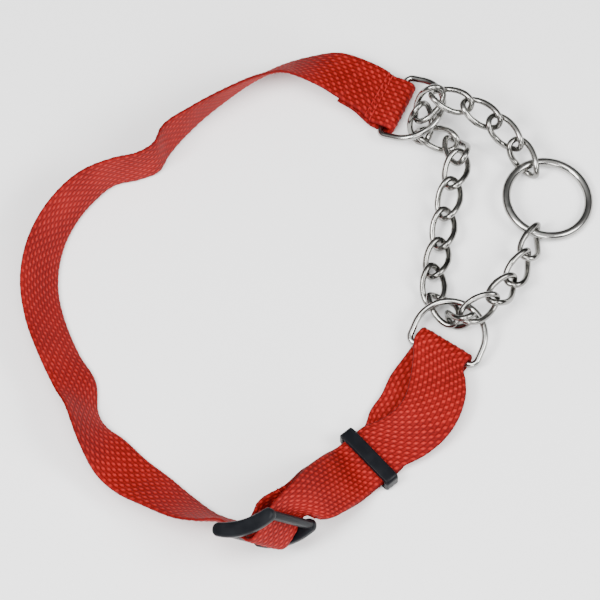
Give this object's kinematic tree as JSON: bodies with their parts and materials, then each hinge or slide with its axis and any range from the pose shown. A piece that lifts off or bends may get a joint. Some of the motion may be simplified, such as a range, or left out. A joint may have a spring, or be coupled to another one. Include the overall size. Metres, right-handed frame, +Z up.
{
  "type": "martingale collar",
  "caption": "Half-check dog collar: woven webbing band with sliding adjuster, keeper and D-rings, closed by a twisted chain loop with a leash ring.",
  "frame": {"origin": "bottom centre of the collar's bounding box, as it lies on a flat surface", "axes": "+Z up from the surface; +X from the middle of the band towards the leash ring; +Y from the slide towards the sewn end"},
  "size_m": [0.2457, 0.2486, 0.0466],
  "materials": {
    "webbing": "plain-woven red nylon webbing",
    "thread": "matching red polyester thread",
    "steel": "polished nickel-plated steel wire",
    "plastic": "smooth black moulded acetal"
  },
  "bodies": {
    "band": {"webbing_strap": "webbing", "sewn_end_stitching": "thread", "slide_end_stitching": "thread"},
    "slide": {"tri_glide_slide": "plastic"},
    "keeper": {"keeper_loop": "plastic"},
    "fixed_d": {"fixed_d_ring": "steel"},
    "adjusting_d": {"adjusting_d_ring": "steel"},
    "ring": {"leash_ring": "steel"},
    "leash_run": {"chain_link_04": "steel", "chain_link_17": "steel"},
    "link_01": {"chain_link_01": "steel"},
    "link_02": {"chain_link_02": "steel"},
    "link_03": {"chain_link_03": "steel"},
    "link_05": {"chain_link_05": "steel"},
    "link_06": {"chain_link_06": "steel"},
    "link_07": {"chain_link_07": "steel"},
    "link_08": {"chain_link_08": "steel"},
    "link_09": {"chain_link_09": "steel"},
    "link_10": {"chain_link_10": "steel"},
    "link_11": {"chain_link_11": "steel"},
    "link_12": {"chain_link_12": "steel"},
    "link_13": {"chain_link_13": "steel"},
    "link_14": {"chain_link_14": "steel"},
    "link_15": {"chain_link_15": "steel"},
    "link_16": {"chain_link_16": "steel"},
    "link_18": {"chain_link_18": "steel"},
    "link_19": {"chain_link_19": "steel"}
  },
  "joints": [
    {"name": "fixed_d_swing", "type": "hinge", "parent": "band", "child": "fixed_d", "pos_m": [0.03705, 0.09685, 0.0044], "axis": [-0.4226, -0.9063, 0], "range_deg": [-2, 0.7]},
    {"name": "adjusting_d_swing", "type": "hinge", "parent": "band", "child": "adjusting_d", "pos_m": [0.05665, -0.02345, 0.0046], "axis": [0.9135, -0.4067, 0], "range_deg": [-0.5, 0.5]},
    {"name": "keeper_travel", "type": "slide", "parent": "band", "child": "keeper", "axis": [0.7547, 0.6561, 0], "range_m": [-0.003, 0.003]},
    {"name": "slide_tilt", "type": "hinge", "parent": "band", "child": "slide", "pos_m": [-0.01785, -0.11565, 0.024], "axis": [-0.5652, -0.1713, 0.807], "range_deg": [-1.5, 1.5]},
    {"name": "leash_lift", "type": "hinge", "parent": "band", "child": "leash_run", "pos_m": [0.05609, 0.09733, 0.0223], "axis": [0.2164, -0.9732, -0.0775], "range_deg": [0, 30]},
    {"name": "ring_swing", "type": "hinge", "parent": "leash_run", "child": "ring", "pos_m": [0.09612, 0.06885, 0.01446], "axis": [0.0006, -0.9864, -0.1645], "range_deg": [0, 14]},
    {"name": "link_01_roll", "type": "hinge", "parent": "leash_run", "child": "link_01", "pos_m": [0.0934, 0.06935, 0.00725], "axis": [-0.5207, 0.7636, 0.3818], "range_deg": [-2, 2]},
    {"name": "link_02_roll", "type": "hinge", "parent": "leash_run", "child": "link_02", "pos_m": [0.08515, 0.0791, 0.01225], "axis": [-0.6833, 0.6453, 0.3416], "range_deg": [-1.5, 2]},
    {"name": "link_03_roll", "type": "hinge", "parent": "leash_run", "child": "link_03", "pos_m": [0.0749, 0.0866, 0.016], "axis": [-0.8489, 0.4798, 0.2215], "range_deg": [-2, 1.5]},
    {"name": "link_05_roll", "type": "hinge", "parent": "band", "child": "link_05", "pos_m": [0.0519, 0.09135, 0.016], "axis": [-0.5387, -0.4897, -0.6856], "range_deg": [-1, 2]},
    {"name": "link_06_roll", "type": "hinge", "parent": "band", "child": "link_06", "pos_m": [0.0489, 0.08585, 0.00875], "axis": [-0.052, -0.6239, -0.7798], "range_deg": [-3, 3]},
    {"name": "link_07_roll", "type": "hinge", "parent": "band", "child": "link_07", "pos_m": [0.0559, 0.0806, 0.00475], "axis": [0.9545, -0.2962, -0.0329], "range_deg": [-3, 3]},
    {"name": "link_08_roll", "type": "hinge", "parent": "band", "child": "link_08", "pos_m": [0.0644, 0.07385, 0.007], "axis": [0.236, -0.8495, 0.4719], "range_deg": [-3, 3]},
    {"name": "link_09_roll", "type": "hinge", "parent": "band", "child": "link_09", "pos_m": [0.0639, 0.0626, 0.00925], "axis": [-0.2508, -0.9674, -0.0358], "range_deg": [-8, 8]},
    {"name": "link_10_roll", "type": "hinge", "parent": "band", "child": "link_10", "pos_m": [0.06065, 0.0491, 0.00775], "axis": [-0.2135, -0.9606, -0.1779], "range_deg": [-8, 8]},
    {"name": "link_11_roll", "type": "hinge", "parent": "band", "child": "link_11", "pos_m": [0.05815, 0.0356, 0.00575], "axis": [-0.1457, -0.9833, -0.1093], "range_deg": [-8, 8]},
    {"name": "link_12_roll", "type": "hinge", "parent": "band", "child": "link_12", "pos_m": [0.0554, 0.0216, 0.005], "axis": [-0.2346, -0.9721, 0], "range_deg": [-6, 6]},
    {"name": "link_13_roll", "type": "hinge", "parent": "band", "child": "link_13", "pos_m": [0.05365, 0.0091, 0.00425], "axis": [0, -0.9899, -0.1414], "range_deg": [-3, 3]},
    {"name": "link_14_roll", "type": "hinge", "parent": "band", "child": "link_14", "pos_m": [0.0579, -0.00215, 0.00475], "axis": [0.5698, -0.8045, 0.1676], "range_deg": [-1.5, 1.5]},
    {"name": "link_15_roll", "type": "hinge", "parent": "band", "child": "link_15", "pos_m": [0.0644, -0.00965, 0.01025], "axis": [0.4467, -0.2978, 0.8437], "range_deg": [-2, 2]},
    {"name": "link_16_roll", "type": "hinge", "parent": "band", "child": "link_16", "pos_m": [0.0729, -0.0069, 0.0145], "axis": [0.8269, 0.5623, 0], "range_deg": [-3, 2]},
    {"name": "link_18_roll", "type": "hinge", "parent": "leash_run", "child": "link_18", "pos_m": [0.0904, 0.0151, 0.00875], "axis": [0.4317, 0.8965, -0.0996], "range_deg": [-3, 3]},
    {"name": "link_19_roll", "type": "hinge", "parent": "leash_run", "child": "link_19", "pos_m": [0.0959, 0.02885, 0.0065], "axis": [0.2998, 0.9328, -0.1999], "range_deg": [-3, 3]}
  ]
}
